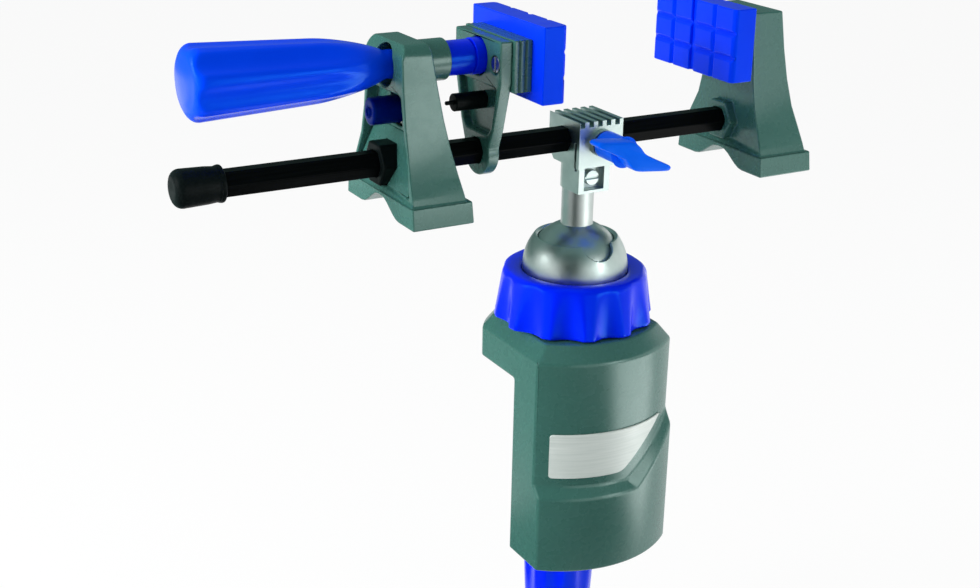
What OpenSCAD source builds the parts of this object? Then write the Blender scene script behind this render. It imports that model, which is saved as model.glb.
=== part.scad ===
// Multi-angle bench vise: a hex bar clamp held on a lockable ball swivel above a bench clamp.
// Millimetres, Z up. The origin lies on the bench top, under the swivel ball.
// X runs along the bar towards the fixed jaw, Y runs in over the bench.

/* [Bench base] */
// Half width of the housing over its two flat sides
base_half_w = 44.5; // [44:0.5:50]
// Radius of the round upper jaw behind the housing
turret_r = 51.5; // [50:0.5:56]
// Height of the upright rim of the upper jaw
seat_rim = 18; // [15:0.5:19]
// How far the housing hangs below the bench top
housing_drop = 108; // [100:1:130]
// Distance from the ball axis to the back face of the housing
spine_back = 10.5; // [9:0.5:14]
// How far the apron below the label stands out of the housing
apron = 4.5; // [2:0.5:6]
// Radius of the bench clamp screw
screw_r = 5; // [4:0.25:6]
// Gap between the bench seat and the pressure foot as stored
bench_gap = 38; // [32:1:46]
// Radius of the pressure foot
foot_r = 13.5; // [12:0.5:16]
// Radius of the bench knob flange
knob_r = 23.8; // [20:0.2:26]
// Length of the bench knob
knob_len = 66; // [50:1:80]

/* [Swivel] */
// Height of the ball centre above the bench top
ball_rise = 57; // [56:0.5:60]
// Radius of the swivel ball
ball_r = 27; // [25:0.5:27.5]
// Radius of the polished stem above the ball
stem_r = 9; // [8:0.25:9.5]
// Wall thickness of the socket dome
dome_wall = 2.5; // [2:0.25:3.5]
// Half angle of the round opening in the dome
dome_open = 51; // [48:1:54]
// Tilt that the notch in the dome allows
notch_tilt = 49.5; // [44:0.5:52]
// Radius of the locking collar at its foot
collar_r = 45.4; // [44:0.2:47]
// Number of finger scallops round the collar
collar_lobes = 12; // [10:1:16]

/* [Clamp head and bar] */
// Hex bar size across the flats
bar_af = 12.7; // [11:0.1:13]
// Height of the bar axis above the ball centre
bar_rise = 75; // [74:0.5:82]
// Length of the clamp head along the bar
head_len = 28; // [26:0.5:32]
// Half depth of the clamp head
head_half = 15.5; // [15:0.25:18]
// Span of the wing knob from tip to tip
wing_span = 57; // [48:1:64]
// Bar end under the rubber cap, measured from the ball axis
bar_left = 226; // [210:1:260]

/* [Jaws] */
// Opening between the two jaw pads as stored
jaw_open = 106; // [100:1:110]
// Jaw pad width across the bar
pad_w = 74; // [66:1:84]
// Jaw pad height
pad_h = 40; // [36:0.5:44]
// Jaw pad thickness
pad_t = 14; // [12:0.5:16]
// Depth of the grooves in the jaw pads
groove_d = 1.8; // [1:0.1:2.5]
// Height of the jaw spindle above the bar
spindle_rise = 50.5; // [49:0.5:53]

/* [Frames] */
// Thickness of a jaw frame at its foot
frame_t = 30; // [28:0.5:34]
// Half width of a jaw frame at its foot
frame_half = 37; // [35:0.5:42]
// Distance from the bar axis down to the soles
sole_drop = 26; // [24:0.5:30]
// Height of the feet
foot_h = 11.5; // [10:0.5:13]

/* [Handle] */
// Length of the vise handle
handle_len = 105; // [90:1:120]
// Radius of the vise handle at its free end
handle_r = 19; // [17:0.5:21]
// Number of flutes in the handle
handle_lobes = 7; // [5:1:9]

/* [Hidden] */
$fn = 64;
e = 0.01;
run = 0.05;
slip = 0.3;
// housing plan
nose_y = turret_r + 0.5;
side_y = 34.5;
turret_top = seat_rim + 9;
side_rim = seat_rim - 0.6;
bevel_in = 7.5;
front_sag = nose_y - side_y;
front_r = (base_half_w * base_half_w + front_sag * front_sag) / (2 * front_sag);
front_c = front_r - nose_y;
step_z = -56;
step_x = 8;
step_slope = 0.8;
step_h = 6;
label_t = 0.8;
glue_t = 0.15;
rib_t = 4;
arm_h = 24;
arm_half = 19;
core_h = (housing_drop - arm_h - rib_t - 10) / 2;
screw_y = foot_r + 1 - spine_back;
knob_top = -housing_drop - 10;
knob_bore = 41.3;
pin_drop = 7;
// swivel stack
dome_r = ball_r + slip + dome_wall;
boss_top = ball_rise - 11;
flange_h = 4;
flange_r = dome_r + 3.2;
boss_r = flange_r + 3;
bore_r = dome_r + 0.2;
cup_deep = 32;
collar_z0 = turret_top + 1;
collar_top_r = collar_r - 5;
scallop_r = 11;
scallop_d = 4.4;
scallop_turn = -96;
lip_z = boss_top + flange_h + 0.3;
// bar and head
bar_z = ball_rise + bar_rise;
hex_gap = 0.1;
head_x0 = -10.5;
head_x1 = head_x0 + head_len;
neck_r = stem_r + 1;
neck_z0 = bar_z - 28;
spigot_r = stem_r - 2.5;
spigot_top = neck_z0 + 14;
screw_z = bar_z - 20;
comb_top = 12;
wing_x = 3.5;
stud_r = 3;
wing_y = -42;
wing_t = 11;
// jaws along the bar
jaw_x = 72;
fixed_hold = 13;
rf_x = jaw_x + pad_t + fixed_hold;
mov_x = jaw_x - jaw_open;
mov_hold = 10.5;
car_x1 = mov_x - pad_t - mov_hold;
car_t = 7;
car_x0 = car_x1 - car_t;
lf_x = car_x0 - 53.8;
pad_z0 = 30;
hold_z0 = 35;
hold_z1 = 62;
hold_half = 26;
pad_round = 3;
jaw_screw_y = 18;
frame_top = spindle_rise + 12.6;
fixed_top = pad_z0 + 33.5;
fixed_half = 19.5;
slide_half = 22;
arch_half = 15;
arch_h = 9;
foot_top = foot_h - sole_drop;
hex_boss_af = bar_af + 8.6;
boss_out = 5.6;
bar_right = rf_x + 25;
// spindle line
spin_z = bar_z + spindle_rise;
spin_r = 6;
nut_x1 = lf_x + 33.3;
nut_seat = lf_x + frame_t - 11.3;
nut_r = 10.85;
sleeve_r = 9.1;
disc_r = 9.6;
// handle
neck_x = lf_x + 0.5;
handle_x0 = neck_x - handle_len;
// lock
plate_x = lf_x + 9.5;
plate_t = 3;
lock_z = 35.5;
plate_half = 12.5;
plate_low = 13;
button_r = 6;

// Round bar along X, centred on y and z
module rod_x(r, x0, x1, y = 0, z = 0) {
  translate([x0, y, z])
    rotate([0, 90, 0])
      cylinder(r = r, h = x1 - x0);
}

// Round bar along Y, centred on x and z
module rod_y(r, y0, y1, x = 0, z = 0) {
  translate([x, y0, z])
    rotate([-90, 0, 0])
      cylinder(r = r, h = y1 - y0);
}

// Hexagonal prism on the bar axis with flats above and below
module hex_x(af, x0, x1) {
  translate([x0, 0, bar_z])
    rotate([0, 90, 0])
      rotate([0, 0, 30])
        cylinder(r = af / sqrt(3), h = x1 - x0, $fn = 6);
}

// Box given by its two corners
module box(a, b) {
  translate(a)
    cube(b - a);
}

// Outline in Y and Z pushed along X
module slab_x(pts, x0, x1) {
  translate([x0, 0, 0])
    rotate([90, 0, 90])
      linear_extrude(x1 - x0)
        polygon(pts);
}

// Outline in X and Z pushed along Y
module slab_y(pts, y0, y1) {
  translate([0, y1, 0])
    rotate([90, 0, 0])
      linear_extrude(y1 - y0)
        polygon(pts);
}

// Plan of the spine: a round front between two flat sides, the front moved out by d
module spine_plan(d = 0) {
  intersection() {
    translate([0, front_c])
      circle(r = front_r + d, $fn = 160);
    translate([-base_half_w, -2 * nose_y])
      square([2 * base_half_w, 2 * nose_y - spine_back]);
  }
}

// Plan of the upper jaw: the spine's front joined to a round back
module turret_plan() {
  intersection() {
    translate([-base_half_w, -2 * nose_y])
      square([2 * base_half_w, 4 * nose_y]);
    union() {
      intersection() {
        translate([0, front_c])
          circle(r = front_r, $fn = 160);
        translate([-2 * nose_y, -2 * nose_y])
          square([4 * nose_y, 2 * nose_y + 2]);
      }
      intersection() {
        circle(r = turret_r, $fn = 160);
        translate([-2 * nose_y, 0])
          square([4 * nose_y, 2 * nose_y]);
      }
    }
  }
}

// Outline of a bevel that meets the wall at height rim and the top at bevel_in
function bevel_pts(rim) =
  let (rise = turret_top - rim)
  [[-3, rim - 3 * rise / bevel_in], [-12, rim - 3 * rise / bevel_in], [-12, turret_top + rise],
    [2 * bevel_in, turret_top + rise]];

// Wedge that bevels the top edge of one straight side from a to b
module side_bevel(a, b, rim) {
  translate([a[0], a[1], 0])
    rotate([0, 0, atan2(b[1] - a[1], b[0] - a[0])])
      translate([-12, 0, 0])
        rotate([90, 0, 90])
          linear_extrude(norm(b - a) + 24)
            polygon(bevel_pts(rim));
}

// Ring of radius r round a point at y that bevels a round edge of the upper jaw
module round_bevel(r, y, front) {
  intersection() {
    translate([0, y, 0])
      rotate_extrude($fn = 160)
        polygon([for (p = bevel_pts(seat_rim)) [r - p[0], p[1]]]);
    box([-99, front ? -99 : 0, 0], [99, front ? 0 : 99, 2 * turret_top]);
  }
}

// Section of what lies below the sloped ledge, for a front of radius r
function ledge_pts(r) =
  let (k = step_h / apron)
  [[r - 12, 4 * k], [r - 4, 4 * k], [r + apron + 5, -(apron + 5) * k], [r + apron + 5, -99], [r - 12, -99]];

// Apron below the label: its ledge runs level from the left, then climbs to the right
module apron_body() {
  mid_x = (step_x + base_half_w) / 2;
  turn = asin(mid_x / front_r);
  climb = atan(step_slope * cos(turn));
  bend_r = front_r / pow(cos(climb), 2);
  intersection() {
    translate([0, 0, -housing_drop])
      linear_extrude(housing_drop)
        spine_plan(apron);
    union() {
      translate([0, front_c, step_z])
        rotate_extrude($fn = 160)
          polygon(ledge_pts(front_r));
      translate([mid_x, front_c - front_r * cos(turn), step_z + (mid_x - step_x) * step_slope])
        rotate([0, 0, turn - 90])
          rotate([climb, 0, 0])
            translate([-bend_r, 0, 0])
              rotate_extrude($fn = 160)
                polygon(ledge_pts(bend_r));
    }
  }
}

module base_housing() color([0.46, 0.51, 0.49]) {
  difference() {
    union() {
      difference() {
        linear_extrude(turret_top)
          turret_plan();
        round_bevel(turret_r, 0, false);
        round_bevel(front_r, front_c, true);
        side_bevel([-base_half_w, turret_r], [-base_half_w, -nose_y], side_rim);
        side_bevel([base_half_w, -nose_y], [base_half_w, turret_r], side_rim);
      }
      translate([0, 0, -housing_drop])
        linear_extrude(housing_drop + 1)
          spine_plan();
      apron_body();
      cylinder(r = boss_r, h = boss_top);
      translate([0, screw_y, -housing_drop])
        linear_extrude(arm_h)
          union() {
            circle(r = arm_half);
            translate([-arm_half, -spine_back - screw_y - 1])
              square([2 * arm_half, spine_back + screw_y + 1]);
          }
    }
    translate([0, 0, boss_top - cup_deep])
      cylinder(r = bore_r, h = cup_deep + 8);
    translate([0, screw_y, -housing_drop - 1])
      cylinder(r = screw_r + 4, h = arm_h + 2);
    for (s = [-1, 1])
      for (k = [0, 1])
        translate([0, 0, arm_h + rib_t - housing_drop + k * (core_h + rib_t)])
          linear_extrude(core_h)
            polygon([[s * rib_t, 1 - spine_back], [s * (base_half_w - 6), 1 - spine_back],
              [s * (base_half_w - 6), 4 - side_y], [s * 14, 8.5 - nose_y], [s * rib_t, 7 - nose_y]]);
  }
}

module ball_cup() color([0.25, 0.25, 0.26]) {
  difference() {
    translate([0, 0, boss_top - cup_deep])
      cylinder(r = bore_r, h = cup_deep - 2);
    translate([0, 0, ball_rise])
      sphere(r = ball_r + slip);
  }
}

module label_plate() color([0.8, 0.82, 0.82]) {
  z0 = 5.6 + step_z;
  z1 = z0 + 27;
  translate([0, 0, z0])
    intersection() {
      linear_extrude(z1 - z0)
        difference() {
          spine_plan(label_t + glue_t);
          spine_plan(glue_t);
          translate([-99, -99])
            square([99 - base_half_w + 6, 198]);
          translate([base_half_w - 4, -99])
            square([99, 198]);
        }
      slab_y([[-99, -1], [2, -1], [34, 27.5], [34, 28], [-99, 28]], -99, 0);
    }
}

module screw_bush() color([0.72, 0.6, 0.3]) {
  translate([0, screw_y, -housing_drop])
    difference() {
      union() {
        cylinder(r = screw_r + 4, h = arm_h);
        translate([0, 0, arm_h])
          cylinder(r = screw_r + 6.5, h = 2);
      }
      translate([0, 0, -1])
        cylinder(r = screw_r + run, h = arm_h + 4);
    }
}

module clamp_foot() color([0.46, 0.51, 0.49]) {
  translate([0, screw_y, -bench_gap])
    difference() {
      union() {
        translate([0, 0, -4])
          cylinder(r = foot_r, h = 4);
        translate([0, 0, -10])
          cylinder(r = screw_r + 4, h = 7);
      }
      translate([0, 0, -11])
        cylinder(r = screw_r - 1 + run, h = 8);
      translate([0, 0, -7.5])
        cylinder(r = screw_r + 1.5, h = 2);
    }
}

module foot_ring() color([0.6, 0.6, 0.62]) {
  translate([0, screw_y, -bench_gap - 7.2])
    difference() {
      cylinder(r = screw_r + 1.2, h = 1.4);
      translate([0, 0, -1])
        cylinder(r = screw_r - 2, h = 4);
    }
}

module clamp_screw() color([0.66, 0.67, 0.68]) {
  shank = knob_bore - knob_top - bench_gap - 10.3;
  translate([0, screw_y, -bench_gap])
    difference() {
      union() {
        translate([0, 0, -10.3 - shank])
          cylinder(r = screw_r, h = shank);
        translate([0, 0, -11])
          cylinder(r = screw_r - 1, h = 7.6);
      }
      translate([0, 0, -7.2])
        difference() {
          cylinder(r = screw_r + 2, h = 1.4);
          translate([0, 0, -1])
            cylinder(r = screw_r - 2, h = 4);
        }
      rod_y(2, -20, 20, 0, knob_top - pin_drop + bench_gap);
    }
}

module bench_knob() color([0.02, 0.16, 0.85]) {
  grip_r = knob_r - 2.2;
  translate([0, screw_y, knob_top])
    difference() {
      rotate_extrude()
        polygon([[0, 0], [knob_r - 1.5, 0], [knob_r, -1.5], [knob_r, -5], [grip_r, -8],
          [grip_r - 1, -knob_len * 0.55], [grip_r - 3, 6 - knob_len], [grip_r - 6.5, 1.5 - knob_len],
          [grip_r - 10, -knob_len], [0, -knob_len]]);
      for (i = [0:handle_lobes - 1])
        rotate([0, 0, (i + 0.5) * 360 / handle_lobes])
          translate([grip_r + 7.5, 0, -knob_len - 1])
            cylinder(r = 9.5, h = knob_len - 8);
      translate([0, 0, -knob_bore])
        cylinder(r = screw_r, h = knob_bore + 1);
      rod_y(2, -14, 14, 0, -pin_drop);
    }
}

module knob_pin() color([0.6, 0.6, 0.62]) {
  translate([0, screw_y, knob_top - pin_drop])
    rod_y(2, -13.5, 13.5);
}

module locking_collar() color([0.02, 0.16, 0.85]) {
  difference() {
    rotate_extrude()
      polygon([[boss_r + 0.3, collar_z0], [collar_r - 1, collar_z0], [collar_r, collar_z0 + 1],
        [collar_top_r + 0.9, ball_rise - 3.4], [collar_top_r - 0.4, ball_rise - 0.9],
        [collar_top_r - 2.6, ball_rise],
        [dome_r + 1.4, ball_rise - 0.5], [dome_r + 0.3, ball_rise - 1.6],
        [dome_r + 0.3, lip_z], [boss_r + 0.3, lip_z]]);
    for (i = [0:collar_lobes - 1])
      rotate([0, 0, scallop_turn + i * 360 / collar_lobes])
        translate([collar_r + scallop_r - scallop_d, 0, collar_z0 - 1])
          cylinder(r = scallop_r, h = ball_rise - collar_z0 + 2);
  }
}

module socket_dome() color([0.75, 0.77, 0.77]) {
  skirt = ball_rise - boss_top;
  difference() {
    translate([0, 0, ball_rise])
      rotate_extrude()
        difference() {
          union() {
            intersection() {
              circle(r = dome_r);
              square([dome_r, dome_r]);
            }
            translate([0, -skirt])
              square([dome_r, skirt]);
            translate([0, -skirt])
              square([flange_r, flange_h]);
          }
          intersection() {
            circle(r = ball_r + slip);
            square([dome_r, dome_r]);
          }
          translate([0, -skirt])
            square([ball_r + slip, skirt]);
        }
    translate([0, 0, ball_rise])
      cylinder(r1 = 0, r2 = 40 * tan(dome_open), h = 40);
    translate([0, 0, ball_rise])
      rotate([notch_tilt, 0, 0])
        linear_extrude(60)
          union() {
            circle(r = stem_r + 0.5);
            translate([-stem_r - 0.5, 0])
              square([2 * stem_r + 1, 40]);
          }
  }
}

module ball_stud() color([0.78, 0.79, 0.8]) {
  difference() {
    union() {
      translate([0, 0, ball_rise])
        sphere(r = ball_r);
      translate([0, 0, ball_rise])
        cylinder(r = stem_r, h = neck_z0 - ball_rise);
      translate([0, 0, neck_z0 - 1])
        cylinder(r = spigot_r, h = spigot_top - neck_z0 + 1);
    }
    translate([0, 0, screw_z - 2.8])
      difference() {
        cylinder(r = spigot_r + 3, h = 5.6);
        translate([0, 0, -1])
          cylinder(r = spigot_r - 1.2, h = 8);
      }
  }
}

module clamp_head() color([0.75, 0.77, 0.77]) {
  pitch = (head_len - 5.2) / 4.1;
  difference() {
    union() {
      slab_x([[-head_half, bar_z - 14], [neck_r, bar_z - 14], [head_half, bar_z - 8],
        [head_half, bar_z + comb_top], [-head_half, bar_z + comb_top]], head_x0, head_x1);
      translate([0, 0, neck_z0])
        cylinder(r = neck_r, h = 16);
      box([-neck_r, -head_half, neck_z0], [neck_r, 0, bar_z - 10]);
      rod_y(7.5, -head_half - 3.5, 2.5 - head_half, wing_x, bar_z);
    }
    hex_x(bar_af + 2 * hex_gap, head_x0 - 1, head_x1 + 1);
    for (i = [0:4])
      box([head_x1 - 5.3 - i * pitch, -head_half - 1, bar_z + comb_top - 3],
        [head_x1 - 2.5 - i * pitch, head_half + 1, bar_z + comb_top + 1]);
    box([head_x0 - 1, 2.5 - head_half, bar_z - 15.5], [head_x1 + 1, 4.5 - head_half, bar_z]);
    box([wing_x - 5.8, 2.5 - head_half, bar_z - 6.3], [wing_x + 5.8, -1, bar_z + 6.3]);
    rod_y(stud_r + run, -head_half - 9, 0, wing_x, bar_z);
    box([-6.3, -head_half - 1, screw_z - 6.3], [6.3, 5 - head_half, screw_z + 6.3]);
    rod_y(2.5, -head_half, 0, 0, screw_z);
    translate([0, 0, neck_z0 - 1])
      cylinder(r = spigot_r + run, h = spigot_top - neck_z0 + 1.3);
  }
}

module neck_screw() color([0.7, 0.71, 0.72]) {
  difference() {
    union() {
      rod_y(2.5, 5 - head_half, 0.4 - spigot_r, 0, screw_z);
      rod_y(4.3, 1.6 - head_half, 5 - head_half, 0, screw_z);
    }
    box([-5, 1 - head_half, screw_z - 0.6], [5, 2.8 - head_half, screw_z + 0.6]);
  }
}

module clamp_shoe() color([0.72, 0.6, 0.3]) {
  difference() {
    box([wing_x - 5.5, -11.2, bar_z - 6], [wing_x + 5.5, -2.2 - bar_af / 4, bar_z + 6]);
    translate([0, -slip, 0])
      hex_x(bar_af, head_x0, head_x1);
  }
}

module wing_knob() color([0.03, 0.3, 0.95]) {
  k = wing_span / 58;
  half = [[-26.5, 9.5], [-25, 11.8], [-15, 12.4], [0, 10], [8, 6.5], [12, 1], [24.8, -6.6]];
  difference() {
    union() {
      translate([wing_x, 0, bar_z])
        slab_y(concat([for (p = half) k * p], [for (p = half) -k * p]),
          wing_y - wing_t / 2, wing_y + wing_t / 2);
      rod_y(8.5, wing_y, -head_half - 5, wing_x, bar_z);
    }
    rod_y(stud_r, wing_y - 1, 0, wing_x, bar_z);
  }
}

module knob_stud() color([0.7, 0.71, 0.72]) {
  rod_y(stud_r, wing_y - 1, -11.2, wing_x, bar_z);
}

module hex_bar() color([0.05, 0.05, 0.055]) {
  difference() {
    hex_x(bar_af, -bar_left, bar_right);
    translate([rf_x + 15, 0, bar_z - 20])
      cylinder(r = 2, h = 40);
  }
}

module bar_end_cap() color([0.04, 0.04, 0.045]) {
  r = bar_af / sqrt(3) + 2.4;
  difference() {
    translate([-bar_left - 5.5, 0, bar_z])
      rotate([0, 90, 0])
        rotate_extrude()
          polygon(concat([[0, 0]], [for (a = [-90:15:0]) [r - 4.6 * (1 - cos(a)), 4.6 * (1 + sin(a))]],
            [[r - 0.4, 17], [r - 0.9, 22], [r - 0.3, 23], [r - 0.3, 25], [0, 25]]));
    hex_x(bar_af, -bar_left, 0);
  }
}

// Half width of a jaw frame at the heights where its outline bends, from the top down
function frame_side(top, half_top, round_top) =
  concat([for (a = [90:-15:0]) [half_top - round_top * (1 - cos(a)), top - round_top * (1 - sin(a))]],
    [[half_top + 0.7, 42], [half_top + 2.4, 25], [half_top + 5.4, 10], [frame_half - 5, -2],
      [frame_half - 2.6, -10], [frame_half - 2, foot_top]]);

// Outline mirrored to both sides
function both(pts) = concat(pts, [for (i = [len(pts) - 1:-1:0]) [-pts[i][0], pts[i][1]]]);

// Upright jaw frame: an A shape with feet, flat on its left face and flared on its right
module frame_body(x, top, half_top, round_top) {
  flare = [[-0.5, foot_top - e], [frame_t + 0.5, foot_top - e], [frame_t - 2.2, -4], [frame_t - 4.4, 8],
    [frame_t - 6.6, 25], [frame_t - 8, 46], [frame_t - 8.5, top], [round_top * 0.4, top],
    [0, top - round_top], [0, foot_top + 2]];
  translate([0, 0, bar_z]) {
    intersection() {
      translate([x, 0, 0])
        slab_y(flare, -60, 60);
      slab_x(both(frame_side(top, half_top, round_top)), x - 5, x + 50);
    }
    difference() {
      intersection() {
        translate([x, 0, 0])
          slab_y([[-0.6, -sole_drop], [frame_t + 4, -sole_drop], [frame_t + 3.3, foot_top],
            [-0.6, foot_top]], -60, 60);
        slab_x([[-frame_half, -sole_drop], [frame_half, -sole_drop], [frame_half - 1, foot_top],
          [1 - frame_half, foot_top]], x - 5, x + 60);
      }
      slab_x(concat([for (y = [-arch_half:arch_half / 6:arch_half])
        [y, arch_h * (1 + cos(180 * y / arch_half)) / 2 - sole_drop]],
        [[arch_half, -sole_drop - 1], [-arch_half, -sole_drop - 1]]), x - 5, x + 60);
    }
  }
}

// Hollow in the left face of a jaw frame, which leaves a wall on each side
module frame_hollow(x, deep, top, half_top) {
  wall = 2.6;
  translate([0, 0, bar_z])
    slab_x(both([[half_top - wall, top], [half_top + 2.4 - wall, 25], [half_top + 5.4 - wall, 10],
      [frame_half - 5 - wall, -2], [frame_half - 3.5 - wall, foot_top + 4]]), x - 5, x + deep);
}

module fixed_jaw_frame() color([0.46, 0.51, 0.49]) {
  difference() {
    union() {
      frame_body(rf_x, fixed_top, fixed_half, 1);
      hex_x(hex_boss_af, rf_x - boss_out, rf_x + 4);
    }
    hex_x(bar_af, rf_x - 20, bar_right);
    translate([rf_x + 15, 0, bar_z - 30])
      cylinder(r = 2, h = 42);
    for (s = [-1, 1]) {
      rod_x(1.8, rf_x - 1, rf_x + 50, s * 8, bar_z + 49);
      rod_x(4.6, rf_x + 6, rf_x + 50, s * 8, bar_z + 49);
    }
  }
}

module bar_pin() color([0.6, 0.6, 0.62]) {
  low = arch_h + 0.5 - sole_drop;
  translate([rf_x + 15, 0, bar_z + low])
    cylinder(r = 2, h = 12 - low);
}

// Block between a jaw pad and what carries it, with two shallow lines round its ends
module pad_holder(x0, x1, ys, half) {
  difference() {
    box([x0, -half, bar_z + hold_z0], [x1, half, bar_z + hold_z1]);
    for (s = [-1, 1])
      for (k = [0.3, 0.65])
        box([x0 + k * (x1 - x0) - 0.5, s * half - 0.8, bar_z + hold_z0 - 1],
          [x0 + k * (x1 - x0) + 0.5, s * half + 0.8, bar_z + hold_z1 + 1]);
    for (s = [-1, 1])
      rod_x(1.8, x0 - 1, x1 + 1, s * ys, bar_z + 49);
  }
}

module fixed_pad_holder() color([0.46, 0.51, 0.49]) {
  pad_holder(jaw_x + pad_t, rf_x, 8, fixed_half - 3.5);
}

// Plan of a jaw pad, its two corners at the grooved face rounded
module pad_plan() {
  translate([0, -pad_w / 2])
    square([pad_t - pad_round, pad_w]);
  translate([0, pad_round - pad_w / 2])
    square([pad_t, pad_w - 2 * pad_round]);
  for (s = [-1, 1])
    translate([pad_t - pad_round, s * (pad_w / 2 - pad_round)])
      circle(r = pad_round);
}

// Jaw pad with its grooved face at x looking along +X, screw holes from its back
module jaw_pad(x, ys) {
  z0 = bar_z + pad_z0;
  side = groove_d * sqrt(2);
  difference() {
    translate([x - pad_t, 0, z0])
      linear_extrude(pad_h)
        pad_plan();
    for (s = [-1, 1])
      translate([x, s * pad_w / 4, z0 - 1])
        rotate([0, 0, 45])
          translate([-side / 2, -side / 2, 0])
            cube([side, side, pad_h + 2]);
    box([x - groove_d, -2.2, z0 - 1], [x + groove_d, 2.2, z0 + pad_h + 1]);
    for (k = [1, 2])
      translate([x, -pad_w / 2 - 1, z0 + k * pad_h / 3])
        rotate([0, 45, 0])
          translate([-side / 2, 0, -side / 2])
            cube([side, pad_w + 2, side]);
    for (s = [-1, 1])
      rod_x(1.8, x - pad_t - 1, x - 4, s * ys, bar_z + 49);
  }
}

module fixed_jaw_pad() color([0.02, 0.16, 0.85]) {
  mirror([1, 0, 0])
    jaw_pad(-jaw_x, 8);
}

// Two pan head screws along X, heads at xh, tips at xt
module jaw_screws(xh, xt, ys) {
  d = xt > xh ? 1 : -1;
  for (s = [-1, 1])
    difference() {
      union() {
        rod_x(1.8, min(xh, xt), max(xh, xt), s * ys, bar_z + 49);
        rod_x(4.2, min(xh, xh + d * 2.6), max(xh, xh + d * 2.6), s * ys, bar_z + 49);
      }
      box([min(xh - d, xh + d), s * ys - 0.6, bar_z + 44], [max(xh - d, xh + d), s * ys + 0.6, bar_z + 54]);
    }
}

module fixed_pad_screws() color([0.7, 0.71, 0.72]) {
  jaw_screws(rf_x + 8.6, jaw_x + 5, 8);
}

module handle_frame() color([0.46, 0.51, 0.49]) {
  difference() {
    union() {
      difference() {
        frame_body(lf_x, frame_top, slide_half, 7);
        frame_hollow(lf_x, 7, 38, slide_half);
      }
      hex_x(hex_boss_af, lf_x - boss_out, lf_x + 7.5);
    }
    hex_x(bar_af + 2 * hex_gap, lf_x - 20, lf_x + 60);
    box([plate_x - 1, -plate_half - 1, bar_z - plate_low - 0.5], [plate_x + 7, plate_half + 1, bar_z + lock_z]);
    box([lf_x - 1, -6.6, bar_z + 19], [lf_x + 9, 6.6, bar_z + lock_z]);
    rod_x(10.8, lf_x - 1, lf_x + 14, 0, spin_z);
    rod_x(8, lf_x - 1, lf_x + 60, 0, spin_z);
    rod_x(nut_r + slip, nut_seat, lf_x + 60, 0, spin_z);
  }
}

module spindle_nut() color([0.5, 0.55, 0.53]) {
  difference() {
    union() {
      rod_x(8, lf_x + 14, nut_seat + 1, 0, spin_z);
      rod_x(nut_r, nut_seat, nut_x1, 0, spin_z);
    }
    rod_x(spin_r + run, lf_x, nut_x1 + 1, 0, spin_z);
  }
}

module lock_plate() color([0.62, 0.63, 0.65]) {
  difference() {
    box([plate_x, -plate_half, bar_z - plate_low], [plate_x + plate_t, plate_half, bar_z + lock_z - 1]);
    hex_x(bar_af + 1.4, plate_x - 1, plate_x + plate_t + 1);
  }
}

module release_button() color([0.02, 0.12, 0.75]) {
  low = bar_z + 26.1;
  high = bar_z + lock_z - 1 - button_r;
  difference() {
    union() {
      box([lf_x - 8.2, -button_r, low], [plate_x, button_r, high]);
      rod_x(button_r, lf_x - 8.2, plate_x, 0, low);
      rod_x(button_r, lf_x - 8.2, plate_x, 0, high);
    }
    rod_x(2.2, lf_x - 8.8, lf_x - 7.6, 0, bar_z + 27);
  }
}

module lock_spring() color([0.7, 0.71, 0.72]) {
  translate([plate_x + plate_t, 0, bar_z + 26])
    rotate([0, 90, 0])
      for (i = [0:3])
        translate([0, 0, 0.5 + i * 0.95])
          rotate_extrude()
            translate([3.4, 0])
              circle(r = 0.5);
}

module jaw_carrier() color([0.46, 0.51, 0.49]) {
  difference() {
    union() {
      translate([0, 0, bar_z])
        slab_x([[-24, 61.5], [-24, 40], [-17, 14], [-11.5, 0], [11.5, 0], [17, 14], [24, 40],
          [24, 61.5]], car_x0, car_x1);
      rod_x(bar_af / 2 + 6.8, car_x0, car_x1, 0, bar_z);
    }
    translate([0, 0, bar_z])
      slab_x([[-20, 37], [-14.2, 14], [-11, 10.5], [11, 10.5], [14.2, 14], [20, 37]],
        car_x0 - 1, car_x1 - 2.4);
    hex_x(bar_af + 2 * hex_gap, car_x0 - 1, car_x1 + 1);
    rod_x(disc_r + 0.4, car_x0 - 1, car_x1 - 1.6, 0, spin_z);
    for (s = [-1, 1]) {
      rod_x(4.7, car_x0 - 1, car_x0 + 3, s * jaw_screw_y, bar_z + 49);
      rod_x(1.8, car_x0 - 1, car_x1 + 1, s * jaw_screw_y, bar_z + 49);
    }
    rod_x(2, car_x0 - 1, car_x1 + 1, 0, bar_z + 27);
  }
}

module moving_pad_holder() color([0.46, 0.51, 0.49]) {
  pad_holder(car_x1, mov_x - pad_t, jaw_screw_y, hold_half);
}

module moving_jaw_pad() color([0.02, 0.16, 0.85]) {
  jaw_pad(mov_x, jaw_screw_y);
}

module carrier_screws() color([0.7, 0.71, 0.72]) {
  jaw_screws(car_x0 + 0.4, mov_x - 5, jaw_screw_y);
}

module stop_screw() color([0.05, 0.05, 0.055]) {
  rod_x(2, car_x1 - 6, car_x1, 0, bar_z + 27);
  rod_x(4.7, car_x0 - 14, car_x1 - 2.4, 0, bar_z + 27);
  rod_x(1.1, car_x0 - 18.5, car_x0 - 13, 0, bar_z + 27);
}

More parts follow.
